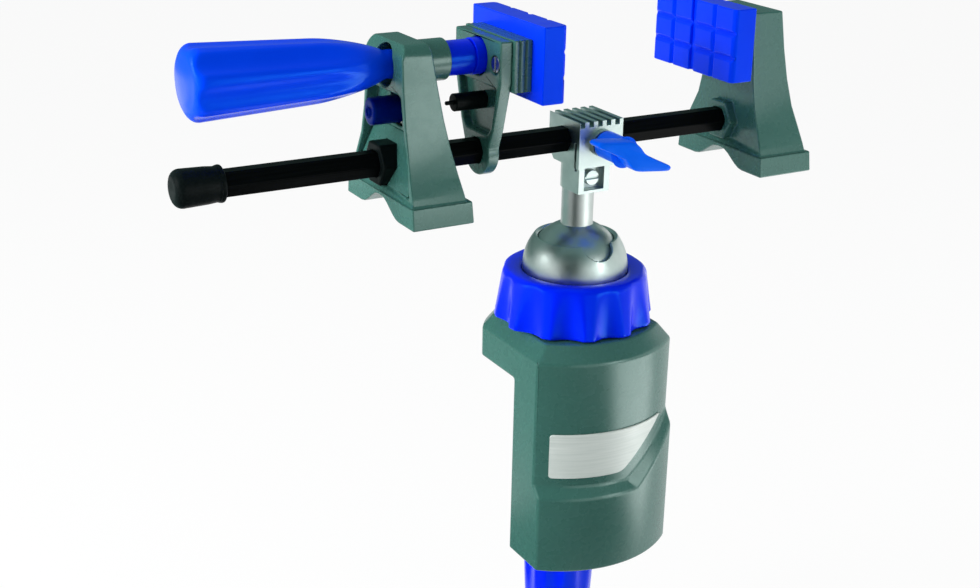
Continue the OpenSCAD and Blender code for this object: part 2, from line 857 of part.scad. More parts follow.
module vise_handle() color([0.02, 0.16, 0.85]) {
  len = handle_len;
  r2 = handle_r - 3;
  slim = atan2(3, len * 0.7);
  translate([handle_x0, 0, spin_z])
    rotate([0, 90, 0])
      difference() {
        rotate_extrude()
          polygon(concat([[0, 0]], [for (a = [-90:15:0]) [handle_r - 6 * (1 - cos(a)), 6 * (1 + sin(a))]],
            [[r2 + 0.4, len * 0.66], [r2 - 0.6, len * 0.74], [r2 - 2.8, len * 0.82], [r2 - 5.6, len * 0.9],
            [7.6, len * 0.97], [7.3, len], [7.3, len + 4], [0, len + 4]]));
        for (i = [0:handle_lobes - 1])
          rotate([0, 0, (i + 0.5) * 360 / handle_lobes])
            translate([handle_r + 7.2, 0, -1])
              rotate([0, -slim, 0])
                cylinder(r = 9.2, h = len * 0.84);
        translate([0, 0, len - 45])
          cylinder(r = spin_r, h = 60);
      }
}

module spindle() color([0.66, 0.67, 0.68]) {
  rod_x(spin_r, neck_x - 45, car_x0 - 1.5, 0, spin_z);
}

module thrust_collar() color([0.02, 0.12, 0.75]) {
  difference() {
    union() {
      rod_x(sleeve_r, nut_x1 + 0.3, car_x0 - 6, 0, spin_z);
      rod_x(sleeve_r - 1.4, nut_x1 + 1, car_x0 - 4, 0, spin_z);
      rod_x(disc_r, car_x0 - 5, car_x1 - 1.7, 0, spin_z);
    }
    rod_x(spin_r, nut_x1 - 1, car_x0 - 1.5, 0, spin_z);
  }
}

base_housing();
ball_cup();
label_plate();
screw_bush();
clamp_foot();
foot_ring();
clamp_screw();
bench_knob();
knob_pin();
locking_collar();
socket_dome();
ball_stud();
clamp_head();
neck_screw();
clamp_shoe();
wing_knob();
knob_stud();
hex_bar();
bar_end_cap();
fixed_jaw_frame();
bar_pin();
fixed_pad_holder();
fixed_jaw_pad();
fixed_pad_screws();
handle_frame();
spindle_nut();
lock_plate();
release_button();
lock_spring();
jaw_carrier();
moving_pad_holder();
moving_jaw_pad();
carrier_screws();
stop_screw();
vise_handle();
spindle();
thrust_collar();
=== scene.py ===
import math

import bmesh
import bpy
from mathutils import Matrix, Vector


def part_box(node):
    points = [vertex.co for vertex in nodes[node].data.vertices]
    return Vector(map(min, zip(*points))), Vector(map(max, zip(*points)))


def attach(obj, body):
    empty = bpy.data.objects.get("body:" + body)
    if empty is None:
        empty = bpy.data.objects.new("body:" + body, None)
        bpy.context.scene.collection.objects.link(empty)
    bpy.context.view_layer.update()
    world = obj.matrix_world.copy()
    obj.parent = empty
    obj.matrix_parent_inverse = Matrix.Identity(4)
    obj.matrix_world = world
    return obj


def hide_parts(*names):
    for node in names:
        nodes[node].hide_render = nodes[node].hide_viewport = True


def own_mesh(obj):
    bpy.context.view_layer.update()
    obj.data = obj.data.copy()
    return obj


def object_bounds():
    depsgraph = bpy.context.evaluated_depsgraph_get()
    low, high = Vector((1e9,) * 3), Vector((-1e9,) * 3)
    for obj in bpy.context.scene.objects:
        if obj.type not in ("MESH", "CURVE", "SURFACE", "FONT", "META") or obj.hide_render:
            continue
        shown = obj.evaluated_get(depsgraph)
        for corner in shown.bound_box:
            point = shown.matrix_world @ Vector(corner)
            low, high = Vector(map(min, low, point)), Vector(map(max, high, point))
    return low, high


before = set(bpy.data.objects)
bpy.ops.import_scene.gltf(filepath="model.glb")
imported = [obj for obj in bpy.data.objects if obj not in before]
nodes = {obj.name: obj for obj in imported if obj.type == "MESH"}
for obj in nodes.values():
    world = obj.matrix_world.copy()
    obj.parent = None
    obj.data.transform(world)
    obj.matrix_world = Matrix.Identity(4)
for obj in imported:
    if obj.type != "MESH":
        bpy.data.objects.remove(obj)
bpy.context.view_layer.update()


def new_finish(name, roughness, metallic=0.0):
    """A material with its shader, and the place in the frame as texture coordinates."""
    made = bpy.data.materials.new(name)
    made.use_nodes = True
    shader = made.node_tree.nodes["Principled BSDF"]
    shader.inputs["Roughness"].default_value = roughness
    shader.inputs["Metallic"].default_value = metallic
    place = made.node_tree.nodes.new("ShaderNodeTexCoord").outputs["Object"]
    return made, shader, place


def cloudy(made, place, scale, detail=3.0, stretch=(1, 1, 1)):
    """Soft noise from 0 to 1, in features per metre, drawn out along an axis."""
    tree = made.node_tree
    spread = tree.nodes.new("ShaderNodeMapping")
    spread.inputs["Scale"].default_value = stretch
    tree.links.new(place, spread.inputs["Vector"])
    noise = tree.nodes.new("ShaderNodeTexNoise")
    noise.inputs["Scale"].default_value = scale
    noise.inputs["Detail"].default_value = detail
    tree.links.new(spread.outputs["Vector"], noise.inputs["Vector"])
    return noise.outputs["Fac"]


def ramped(made, shader, socket, fac, low, high, start=0.35, end=0.65):
    """Leads fac through a ramp from low to high into one socket of the shader."""
    tree = made.node_tree
    ramp = tree.nodes.new("ShaderNodeValToRGB")
    ramp.color_ramp.elements[0].position = start
    ramp.color_ramp.elements[1].position = end
    for stop, value in zip(ramp.color_ramp.elements, (low, high)):
        stop.color = (*value, 1) if isinstance(value, tuple) else (value, value, value, 1)
    tree.links.new(fac, ramp.inputs["Fac"])
    tree.links.new(ramp.outputs["Color"], shader.inputs[socket])


def grained(made, shader, fac, strength, depth):
    """Raises the surface by fac, depth in metres."""
    tree = made.node_tree
    bump = tree.nodes.new("ShaderNodeBump")
    bump.inputs["Strength"].default_value = strength
    bump.inputs["Distance"].default_value = depth
    tree.links.new(fac, bump.inputs["Height"])
    tree.links.new(bump.outputs["Normal"], shader.inputs["Normal"])


def moulded(name, low, high, rough_low, rough_high, grain, level, tint):
    """Injection moulded plastic: faint flow marks in the colour, a fine grained skin.

    level and tint are the strength and the colour of its shine.
    """
    made, shader, place = new_finish(name, rough_low)
    ramped(made, shader, "Base Color", cloudy(made, place, 28, 4), low, high)
    ramped(made, shader, "Roughness", cloudy(made, place, 160, 3), rough_low, rough_high)
    grained(made, shader, cloudy(made, place, 2600, 2), grain, 0.0002)
    shader.inputs["Specular IOR Level"].default_value = level
    shader.inputs["Specular Tint"].default_value = (*tint, 1)
    return made


def eased(node, finish, width, angle=26, segments=3, split=True):
    """Gives a CAD node, or a piece made from one, its finish and the radius of its edges.

    Edges sharper than angle degrees are rounded over width metres. Flat faces are joined
    and, unless split is False, then split into triangles, so that a face round a pocket's
    mouth stays whole.
    """
    piece = nodes[node] if isinstance(node, str) else node
    mesh = piece.data
    if "custom_normal" in mesh.attributes:
        mesh.attributes.remove(mesh.attributes["custom_normal"])
    mesh.materials.clear()
    mesh.materials.append(finish)
    for face in mesh.polygons:
        face.use_smooth = True
    weld = piece.modifiers.new("weld", "WELD")
    weld.merge_threshold = 2e-6
    flat = piece.modifiers.new("flat faces", "DECIMATE")
    flat.decimate_type = "DISSOLVE"
    flat.angle_limit = math.radians(0.4)
    if split:
        piece.modifiers.new("triangles", "TRIANGULATE")
    edge = piece.modifiers.new("edge radius", "BEVEL")
    edge.width = width
    edge.segments = segments
    edge.limit_method = "ANGLE"
    edge.angle_limit = math.radians(angle)
    edge.miter_outer = "MITER_ARC"
    edge.use_clamp_overlap = edge.loop_slide = False
    piece.modifiers.new("normals", "WEIGHTED_NORMAL").weight = 70
    return piece


nylon = moulded("grey_nylon", (0.031, 0.112, 0.0925), (0.034, 0.119, 0.0985), 0.26, 0.29,
                0.03, 0.85, (0.83, 1.0, 0.95))
eased("base_housing", nylon, 0.0013, 22, 4)

# Label: a bare plate of pale satin foil with rounded corners, glued on the curved front
# above the ledge. Its lower edge climbs to the right with the ledge.
scene = bpy.context.scene
MM = 0.001
FRONT_R, FRONT_C = 65.33, 13.33
LABEL_LEFT, LABEL_RIGHT, LABEL_LOW, LABEL_HIGH = -38.4, 33.2, -50.3, -23.5
LABEL_CORNER, LABEL_TIP, LABEL_EDGE = 1.8, 1.2, 0.35
LABEL_BACK, LABEL_FACE = 0.15, 0.95
LEDGE_DEPTH, LEDGE_SLOPE, LEDGE_X, LEDGE_BLEND = 51.4, 0.89, 2, 1.2


def soft_min(a, b, blend):
    """The lower of two lengths, with the crease between them rounded off."""
    return a - blend * math.log1p(math.exp((a - b) / blend))


def skinned(name, rings, finish, body, node=None, wrap=False):
    """Skins closed rings of points in millimetres into a piece, which may stand for a node."""
    work = bmesh.new()
    rows = [[work.verts.new(Vector(point) * MM) for point in ring] for ring in rings]
    for low, high in zip(rows, rows[1:] + (rows[:1] if wrap else [])):
        for i in range(len(low)):
            j = (i + 1) % len(low)
            work.faces.new((low[i], low[j], high[j], high[i]))
    if not wrap:
        work.faces.new(rows[0])
        work.faces.new(rows[-1])
    bmesh.ops.recalc_face_normals(work, faces=work.faces)
    mesh = bpy.data.meshes.new(name)
    work.to_mesh(mesh)
    work.free()
    for face in mesh.polygons:
        face.use_smooth = True
    mesh.set_sharp_from_angle(angle=math.radians(40))
    mesh.materials.append(finish)
    piece = bpy.data.objects.new(name, mesh)
    scene.collection.objects.link(piece)
    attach(piece, body)
    if node:
        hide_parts(node)
    return piece


def satin_foil():
    """Pale foil with fine marks that run along it."""
    made, shader, place = new_finish("label_foil", 0.45, 0.1)
    ramped(made, shader, "Base Color", cloudy(made, place, 900, 4, (0.04, 0.04, 1)),
           (0.52, 0.58, 0.55), (0.62, 0.67, 0.64), 0.3, 0.7)
    ramped(made, shader, "Roughness", cloudy(made, place, 140, 3), 0.36, 0.46)
    return made


def corner_drop(from_end, radius):
    """How far a rounded corner falls back at a distance from the end of its side."""
    inside = min(from_end, radius)
    return radius - math.sqrt(radius ** 2 - (radius - inside) ** 2)


def label_column(x):
    """One upright cut through the label at x: a flat strip with a small edge radius."""
    low = -soft_min(-LABEL_LOW, LEDGE_DEPTH - LEDGE_SLOPE * (x - LEDGE_X), LEDGE_BLEND)
    pull = corner_drop(x - LABEL_LEFT, LABEL_CORNER)
    high, low = LABEL_HIGH - pull - corner_drop(LABEL_RIGHT - x, LABEL_TIP), low + pull
    edge = min(LABEL_EDGE, (high - low) / 3)
    inner, outer = FRONT_R + LABEL_BACK, FRONT_R + LABEL_FACE
    turn = math.asin(x / outer)
    strip = ((inner, low), (outer - edge, low), (outer, low + edge),
             (outer, high - edge), (outer - edge, high), (inner, high))
    return [(r * math.sin(turn), FRONT_C - r * math.cos(turn), z) for r, z in strip]


foil = satin_foil()
columns = [LABEL_LEFT + s for s in (0.02, 0.1, 0.3, 0.6, 1.0, 1.4, 1.8)]
columns += [LABEL_LEFT + 2.5 + i * 66 / 80 for i in range(81)]
columns += [LABEL_RIGHT - s for s in (1.2, 0.8, 0.4, 0.15, 0.03)]
skinned("bare_label", [label_column(x) for x in columns], foil, "base",
        "label_plate")

# Bench screw: a turned steel screw with a coarse trapezoid thread in a brass bush, a nylon
# foot held on it by a spring ring, and a moulded, fluted blue knob pinned on its lower end.
SCREW_Y, SCREW_R, SCREW_SIDES = 4, 5, 40
PITCH, THREAD_DEPTH, RUN_OUT = 3, 0.85, 3
SCREW_LOW, THREAD_LOW, THREAD_HIGH, SCREW_SHOULDER = -159.3, -117, -49.5, -48.8


def turned(name, low, high, rough_low, rough_high):
    """Turned metal with fine marks round it."""
    made, shader, place = new_finish(name, rough_low, 1.0)
    marks = cloudy(made, place, 900, 4)
    ramped(made, shader, "Base Color", marks, low, high, 0.3, 0.7)
    ramped(made, shader, "Roughness", cloudy(made, place, 140, 3), rough_low, rough_high)
    grained(made, shader, marks, 0.25, 0.00004)
    return made


def round_ring(radii, place):
    """A closed ring with the radii at even steps, put in place by a function of x and y."""
    step = 2 * math.pi / len(radii)
    return [place(r * math.cos(i * step), r * math.sin(i * step)) for i, r in enumerate(radii)]


def thread_radius(turn, z):
    """Radius of the screw at an angle and height: a trapezoid thread that runs out."""
    along = (z / PITCH - turn / (2 * math.pi)) % 1
    flank = min(max(2.2 * abs(2 * along - 1) - 0.6, 0), 1)
    below = min(max((z - THREAD_LOW) / RUN_OUT, 0), 1)
    above = min(max((THREAD_HIGH - z) / RUN_OUT, 0), 1)
    return SCREW_R - THREAD_DEPTH * flank * (below * above)


def screw_ring(radii, z):
    """One level of the screw."""
    return round_ring(radii, lambda x, y: (x, y + SCREW_Y, z))


steel = turned("turned_steel", (0.50, 0.51, 0.51), (0.64, 0.65, 0.65), 0.24, 0.36)
brass = turned("turned_brass", (0.52, 0.35, 0.12), (0.66, 0.47, 0.18), 0.26, 0.38)
turns = [2 * math.pi * i / SCREW_SIDES for i in range(SCREW_SIDES)]
heights = [SCREW_LOW] + [THREAD_LOW + 0.25 * i for i in range(271)] + [SCREW_SHOULDER]
rings = [screw_ring([thread_radius(turn, z) for turn in turns], z) for z in heights]
foot_journal = [(4.6, -48.3), (4, -48.25), (4, -45.2), (3, -45.2), (3, -43.8), (4, -43.8),
                (4, -41.8), (3.6, -41.4)]
rings += [screw_ring([r] * SCREW_SIDES, z) for r, z in foot_journal]
skinned("threaded_screw", rings, steel, "bench_screw", "clamp_screw")
for node in ("foot_ring", "knob_pin"):
    eased(node, steel, 0.0003, segments=2)
eased("screw_bush", brass, 0.0003, segments=2)
eased("clamp_foot", nylon, 0.0006)

BLUE_TINT = (0.02, 0.48, 1.0)
blue = moulded("blue_gloss", (0.0004, 0.010, 0.80), (0.0006, 0.013, 0.86), 0.20, 0.24,
               0.015, 0.5, BLUE_TINT)
FLUTES, KNOB_SIDES, KNOB_TOP = 7, 140, -118
KNOB_FLANGE, KNOB_RUN_OUT = 7, 5
KNOB_CUT_AT, KNOB_CUT_CLEAR, KNOB_CUT_R, KNOB_CREASE = 29.1, 4, 9.5, 0.8


def fluted(radius, turn, count, axis_r, cutter_r, blend):
    """Radius of a round body at an angle after round cutters at axis_r were taken off it."""
    step = 2 * math.pi / count
    off = (turn + step / 2) % step - step / 2
    side = axis_r * math.sin(off)
    if abs(side) >= cutter_r:
        return radius
    cut = axis_r * math.cos(off) - math.sqrt(cutter_r ** 2 - side ** 2)
    return soft_min(radius, cut, blend)


def knob_ring(drop, radius):
    """One level of the bench knob; the flutes end below its flange."""
    fade = min(max((drop - KNOB_FLANGE) / KNOB_RUN_OUT, 0), 1)
    cut_at = KNOB_CUT_AT + KNOB_CUT_CLEAR * (1 - fade)
    shape = [fluted(radius, 2 * math.pi * i / KNOB_SIDES - math.pi / FLUTES, FLUTES,
                    cut_at, KNOB_CUT_R, KNOB_CREASE) for i in range(KNOB_SIDES)]
    return round_ring(shape, lambda x, y: (x, y + SCREW_Y, KNOB_TOP - drop))


knob_shape = [(0, 21.2), (0.15, 22.2), (0.6, 23.1), (1.4, 23.6), (2.4, 23.8), (4.2, 23.7),
              (5.2, 23.3), (6.4, 22.4), (7.4, 21.8)]
knob_shape += [(8 + 2.4 * i, 21.6 - 0.085 * i ** 1.12) for i in range(21)]
knob_shape += [(58, 18.9), (60, 18.3), (62, 17.3), (63.6, 16), (64.8, 14.2), (65.6, 12),
               (65.9, 9.5), (66, 6)]
skinned("fluted_bench_knob", [knob_ring(*level) for level in knob_shape], blue,
        "bench_screw", "bench_knob")

# Swivel: a die-cast cup and dome with a satin blasted skin, a plated ball with its stem
# between them, and a moulded blue ring nut with twelve soft scallops that presses the dome
# on the ball.
SCALLOPS, SCALLOP_AT, SCALLOP_R, SCALLOP_CREASE = 12, 52, 11, 1.1
SCALLOP_TURN, COLLAR_STEPS = math.radians(96), 240


def cast_metal(name, low, high, rough_low, rough_high, grain):
    """Die-cast zinc with a fine blasted skin."""
    made, shader, place = new_finish(name, rough_low, 1.0)
    ramped(made, shader, "Base Color", cloudy(made, place, 60, 4), low, high)
    ramped(made, shader, "Roughness", cloudy(made, place, 220, 3), rough_low, rough_high)
    grained(made, shader, cloudy(made, place, 3800, 2), grain, 0.0001)
    return made


satin = cast_metal("satin_casting", (0.46, 0.56, 0.53), (0.56, 0.65, 0.62), 0.33, 0.41, 0.06)
plated = cast_metal("plated_steel", (0.50, 0.57, 0.55), (0.58, 0.64, 0.62), 0.32, 0.38, 0.02)
eased("ball_cup", satin, 0.0004)
eased("socket_dome", satin, 0.0005, 40)
eased("ball_stud", plated, 0.0004, 40)


def collar_cut(turn):
    """One upright cut through the collar at an angle, from its foot round to its bore."""
    outer = [(44.0, 28.0), (44.9, 28.25), (45.4, 29.0)]
    outer += [(45.4 - 4.1 * i / 14, 29 + 24.2 * i / 14) for i in range(1, 15)]
    outer += [(40.9, 54.6), (40.1, 55.8), (39.0, 56.6), (37.6, 57.0)]
    cut = [(fluted(r, turn + SCALLOP_TURN, SCALLOPS, SCALLOP_AT, SCALLOP_R, SCALLOP_CREASE), z)
           for r, z in outer]
    cut += [(34.0, 56.8), (31.8, 56.5), (30.8, 56.1), (30.1, 55.3), (30.1, 50.3), (36.3, 50.3),
            (36.3, 28.0)]
    return [(r * math.cos(turn), r * math.sin(turn), z) for r, z in cut]


collar_cuts = [collar_cut(2 * math.pi * i / COLLAR_STEPS) for i in range(COLLAR_STEPS)]
skinned("scalloped_collar", collar_cuts, blue, "collar", "locking_collar",
        wrap=True)

# Clamp head: a zinc die casting with a combed top, its flap split from the body, held on
# the stem by a slotted screw in a square recess. A moulded blue wing knob with soft edges,
# on a steel stud, presses a brass shoe on the bar.
BAR_Z = 132 * MM
WING_X, HUB_R = 3.5, 7.5
eased("clamp_head", satin, 0.0002, split=False)
eased("neck_screw", satin, 0.0003, segments=2)
eased("clamp_shoe", brass, 0.0003, segments=2)
eased("knob_stud", steel, 0.0003, segments=2)
# The wing's blue is the blue plastic made much greener and lighter, which is painted light for
# its lit front face.
wing_finish_painted_light = moulded("wing_blue_painted_light", (0.0008, 0.105, 0.86), (0.0010, 0.125, 0.94), 0.30, 0.38,
              0.02, 0.2, BLUE_TINT)


def cut_corners(points, times=2):
    """A closed outline with a fifth of each side cut off its corners, so they come out round."""
    for _ in range(times):
        ahead = points[1:] + points[:1]
        points = [(a[0] + f * (b[0] - a[0]), a[1] + f * (b[1] - a[1]))
                  for a, b in zip(points, ahead) for f in (0.2, 0.8)]
    return points


half_wing = [(-25.6, 9.4), (-24.2, 11.2), (-14, 10.2), (-1, 8.9), (3.2, 5.4), (6.6, 0.9),
             (15, -3.4), (24.4, -7.8)]
wing_edge = cut_corners(half_wing + [(-x, -z) for x, z in half_wing])
wing_hub = [(HUB_R * x / math.hypot(x, z), HUB_R * z / math.hypot(x, z)) for x, z in wing_edge]
wing_levels = [(wing_hub, 1.0, -20.7), (wing_hub, 1.0, -37.2), (wing_hub, 1.15, -38.0)]
wing_levels += [(wing_edge, scale, y) for scale, y in (
    (0.83, -38.2), (0.89, -38.6), (0.93, -39.8), (0.93, -47.6), (0.905, -48.6), (0.86, -49.2),
    (0.79, -49.5))]
wing_rings = [[(WING_X + k * x, y, BAR_Z / MM + k * z) for x, z in edge]
              for edge, k, y in wing_levels]
skinned("soft_wing", wing_rings, wing_finish_painted_light, "wing", "wing_knob")

# Bar: drawn hexagonal steel, blackened all over, that slides in the head. A soft rubber cap
# is pushed on its free end.


def blackened(name, low, high, rough_low, rough_high, stretch, level):
    """A black skin with fine marks drawn out along an axis, and level for its shine."""
    made, shader, place = new_finish(name, rough_low)
    ramped(made, shader, "Base Color", cloudy(made, place, 900, 4, stretch), low, high, 0.3, 0.7)
    ramped(made, shader, "Roughness", cloudy(made, place, 140, 3), rough_low, rough_high)
    grained(made, shader, cloudy(made, place, 2200, 3, stretch), 0.12, 0.00008)
    shader.inputs["Specular IOR Level"].default_value = level
    return made


black = blackened("black_bar", (0.0012, 0.0016, 0.0016), (0.003, 0.004, 0.004), 0.28, 0.38,
                  (0.03, 1, 1), 0.025)
rubber = blackened("black_rubber", (0.002, 0.004, 0.004), (0.005, 0.008, 0.008), 0.34, 0.44,
                   (1, 1, 1), 0.06)
eased("hex_bar", black, 0.0005)
eased("bar_end_cap", rubber, 0.0008)

# Fixed jaw: a moulded nylon frame with a straight back and an arched foot, pinned on the
# bar's end, a nylon block behind the pad, and a blue pad with a waffle face held by two
# screws from behind.
RIGHT_FRAME = 99
CAVITY_BACK, BUSH_REACH, PIN_DEEP, PIN_CLEAR = 17.5, 12.6, 15, 4
SOLE_TOP, FOOT_OUT, ARCH_REACH = -14.5, -2.2, 15.1


def bent(at, stops):
    """Straight pieces between (place, value) stops, level beyond both ends."""
    if at <= stops[0][0]:
        return stops[0][1]
    for (a, low), (b, high) in zip(stops, stops[1:]):
        if at <= b:
            return low + (high - low) * (at - a) / (b - a)
    return stops[-1][1]


def straightened(name, node, body, left, back, side):
    """The jaw frame of a CAD node with a straight back, a foot that runs out and a wide arch.

    left is the place of the frame's left face. back and side hold stops of height above the
    bar and how far the back or a wall moves there, all in millimetres.
    """
    mesh = nodes[node].data.copy()
    mesh.name = name
    for vertex in mesh.vertices:
        x, y, z = vertex.co / MM
        deep, high, out = x - left, z - BAR_Z / MM, math.copysign(1, y)
        # Behind the cavity the back moves, and outside the bush the left face runs out.
        shift = min(max((deep - CAVITY_BACK) / 2.5, 0), 1) * bent(high, back)
        if deep < 1.2 and math.hypot(y, high) > BUSH_REACH:
            shift += bent(high, [(SOLE_TOP, FOOT_OUT), (12, 0)])
        # The walls move, and under the foot the arch opens round the hole for the pin.
        spread = min(max((abs(y) - 14) / 5, 0), 1) * bent(high, side)
        in_arch = high < SOLE_TOP - 0.1 and abs(y) < ARCH_REACH
        if in_arch and math.hypot(deep - PIN_DEEP, y) > PIN_CLEAR:
            spread = min(abs(y), 2.5 + 0.36 * max(abs(y) - 2.5, 0))
        vertex.co = Vector((x + shift, y + out * spread, z)) * MM
    piece = bpy.data.objects.new(name, mesh)
    scene.collection.objects.link(piece)
    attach(piece, body)
    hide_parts(node)
    return piece


fixed_frame = straightened(
    "fixed_frame", "fixed_jaw_frame", "bar", RIGHT_FRAME,
    [(SOLE_TOP, 0), (-4, 1.25), (8, 1.8), (25, 1.6), (46, 0.1), (63.5, -1.8)],
    [(SOLE_TOP, 2.1), (-10, 1.16), (-2, 0), (10, 1.6), (25, 1.1), (42, 0.8), (63.5, 0.5)])
# The pads' blue is the blue plastic with extra green, which is painted light for their lit
# sides.
pad_finish_painted_light = moulded("pad_blue_painted_light", (0.0004, 0.030, 0.86), (0.0006, 0.036, 0.92), 0.30, 0.36,
                    0.03, 0.35, BLUE_TINT)
eased(fixed_frame, nylon, 0.0009)
eased("fixed_pad_holder", nylon, 0.0006)
eased("fixed_jaw_pad", pad_finish_painted_light, 0.0006)
for node in ("bar_pin", "fixed_pad_screws"):
    eased(node, steel, 0.0003, segments=2)

# Sliding frame: the same nylon moulding with a sloping web between its walls, a bush round the
# bar whose faces get the black rubber finish, and a nut for the spindle. A steel lock plate
# with a blue button jams on the bar, pushed by a spring of steel wire. The button's blue is
# darkened with painted shade.
LEFT_FACE = -119.3 * MM
slider = straightened(
    "sliding_frame", "handle_frame", "slider", LEFT_FACE / MM,
    [(SOLE_TOP, -2), (-4, -1), (8, -0.7), (25, -1.2), (46, -3.1), (63.1, -5.3)],
    [(SOLE_TOP, 2.1), (-10, 1.16), (-2, 0), (10, 0.1), (25, -0.4), (42, -0.7), (63.1, -1)])
eased(slider, nylon, 0.0009)
# The bush's faces round the bar, just inside the frame's left face, get the black rubber finish.
slider.data.materials.append(rubber)
BUSH_DEPTH, BUSH_R = 7.2 * MM, 12.4 * MM
for face in slider.data.polygons:
    spot = face.center
    if spot.x < LEFT_FACE + BUSH_DEPTH and math.hypot(spot.y, spot.z - BAR_Z) < BUSH_R:
        face.material_index = 1

WEB_STEPS, WEB_BACK, HEX_HALF = 240, 6.9, 10.8
WALL_HALF, WALL_LEAN, WEB_TOP, WEB_FOOT = 27.2, 0.33, 17.5, 10.3
WEB_SLOPE, WEB_OUT, WEB_DEEPEST = 0.27, -1.2, 6.6


def web_cut(turn):
    """One cut through the web round the bush: a sloping front between the frame's two walls."""
    across, rise = math.cos(turn), math.sin(turn)
    inner = HEX_HALF / math.cos(turn % (math.pi / 3) - math.pi / 6)
    to_wall = WALL_HALF / max(abs(across) + WALL_LEAN * rise, 0.2)
    outer = min(to_wall, WEB_TOP / max(rise, 0.2), WEB_FOOT / max(-rise, 0.2))
    outer = max(outer, inner + 0.05)
    slopes = [WEB_SLOPE * (r * rise + 10) + WEB_OUT for r in (inner, outer)]
    lean = [LEFT_FACE / MM + min(max(slope, WEB_OUT), WEB_DEEPEST) for slope in slopes]
    back = LEFT_FACE / MM + WEB_BACK
    return [(x, r * across, BAR_Z / MM + r * rise) for x, r in (
        (back, inner), (lean[0], inner), (lean[1], outer), (back, outer))]


web_cuts = [web_cut(2 * math.pi * i / WEB_STEPS) for i in range(WEB_STEPS)]
skinned("frame_web", web_cuts, nylon, "slider", wrap=True)
eased("spindle_nut", nylon, 0.0006)
eased("lock_plate", steel, 0.0003, segments=2)

SPRING_LOW, SPRING_HIGH = (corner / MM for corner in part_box("lock_spring"))
SPRING_TURNS, SPRING_STEPS, WIRE_R, WIRE_SIDES = 3.5, 84, 0.4, 12
SPRING_RISE, COIL_WIDE, COIL_TAPER, SPRING_PLAY = 26, 3.4, 1.5, 0.05


def wire_ring(share):
    """One cut through the spring's wire, which winds into a cone so that it can close flat."""
    turn = 2 * math.pi * SPRING_TURNS * share
    coil = COIL_WIDE - COIL_TAPER * share
    travel = SPRING_HIGH.x - SPRING_LOW.x - 2 * WIRE_R - SPRING_PLAY
    at = SPRING_HIGH.x - WIRE_R - travel * share
    sides = [2 * math.pi * i / WIRE_SIDES for i in range(WIRE_SIDES)]
    ring = [(coil + WIRE_R * math.cos(a), at + WIRE_R * math.sin(a)) for a in sides]
    middle = BAR_Z / MM + SPRING_RISE
    return [(x, r * math.cos(turn), middle + r * math.sin(turn)) for r, x in ring]


wire_rings = [wire_ring(i / SPRING_STEPS) for i in range(SPRING_STEPS + 1)]
spring = skinned("conical_spring", wire_rings, steel, "slider", "lock_spring")
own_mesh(spring)
# The button's blue is the blue plastic darkened many times over, which is painted shade for the
# shadow it sits in.
button_finish_painted_shade = moulded("button_blue_painted_shade", (0.0003, 0.004, 0.12), (0.0005, 0.006, 0.16), 0.30, 0.38,
                    0.02, 0.2, BLUE_TINT)
eased("release_button", button_finish_painted_shade, 0.0014)

# Moving jaw: a nylon carrier that rides on the bar, a nylon block and a blue waffle pad
# screwed to it, and a short black post.
eased("jaw_carrier", nylon, 0.0009)
eased("moving_pad_holder", nylon, 0.0006)
eased("moving_jaw_pad", pad_finish_painted_light, 0.0006)
eased("carrier_screws", steel, 0.0003, segments=2)
eased("stop_screw", rubber, 0.0005)

# Handle: a blue grip with seven broad flutes moulded round the spindle, and a blue sleeve
# where the spindle meets the carrier.
GRIP_END, SPINDLE_Z, GRIP_SIDES = -223.8, 182.5, 168
GRIP_CUT_AT, GRIP_CUT_TAPER, GRIP_CUT_R, GRIP_CREASE = 26.2, 0.0408, 9.2, 0.9
GRIP_NOSE, NOSE_R, GRIP_R, GRIP_TAPER, TAPER_END = 7.2, 6, 19, 2.6, 66
SHOULDER_LONG, SHOULDER_RISE, NECK_R = 38, 9.1, 7.3


def handle_ring(along, radius):
    """One station of the grip, its flutes running out at the shoulder."""
    cut_at = GRIP_CUT_AT - GRIP_CUT_TAPER * along
    shape = [fluted(radius, 2 * math.pi * i / GRIP_SIDES - math.pi / FLUTES, FLUTES,
                    cut_at, GRIP_CUT_R, GRIP_CREASE) for i in range(GRIP_SIDES)]
    return round_ring(shape, lambda u, v: (GRIP_END + along, v, SPINDLE_Z - u))


def shoulder(along):
    """Radius of the grip before its flutes: a slow taper, then a full shoulder to the neck."""
    if along < TAPER_END:
        return GRIP_R - GRIP_TAPER * (along - GRIP_NOSE) / (TAPER_END - GRIP_NOSE)
    share = min((along - TAPER_END) / SHOULDER_LONG, 1)
    return NECK_R + SHOULDER_RISE * math.cos(math.pi * share / 2) ** 0.8 * (1 - 0.18 * share)


# The grip's blue is the blue plastic with extra green and brightness, which is painted light for
# the lit handle.
grip_blue_painted_light = moulded("grip_blue_painted_light", (0.0004, 0.050, 0.93), (0.0006, 0.056, 0.97), 0.20, 0.24,
                    0.015, 0.45, BLUE_TINT)
grip_shape = [(0.0, 2.0), (0.2, 6.0), (0.65, 10.0), (1.2, 13.0)]
grip_shape += [(GRIP_NOSE - NOSE_R * math.cos(a), GRIP_R - NOSE_R + NOSE_R * math.sin(a))
               for a in map(math.radians, range(10, 91, 10))]
stations = [GRIP_NOSE + 2.94 * i for i in range(1, 21)] + [68 + 2 * i for i in range(19)] + [109]
grip_shape += [(s, shoulder(s)) for s in stations]
skinned("fluted_handle", [handle_ring(*station) for station in grip_shape], grip_blue_painted_light,
        "handle", "vise_handle")
eased("spindle", steel, 0.0003, segments=2)
eased("thrust_collar", blue, 0.0005)

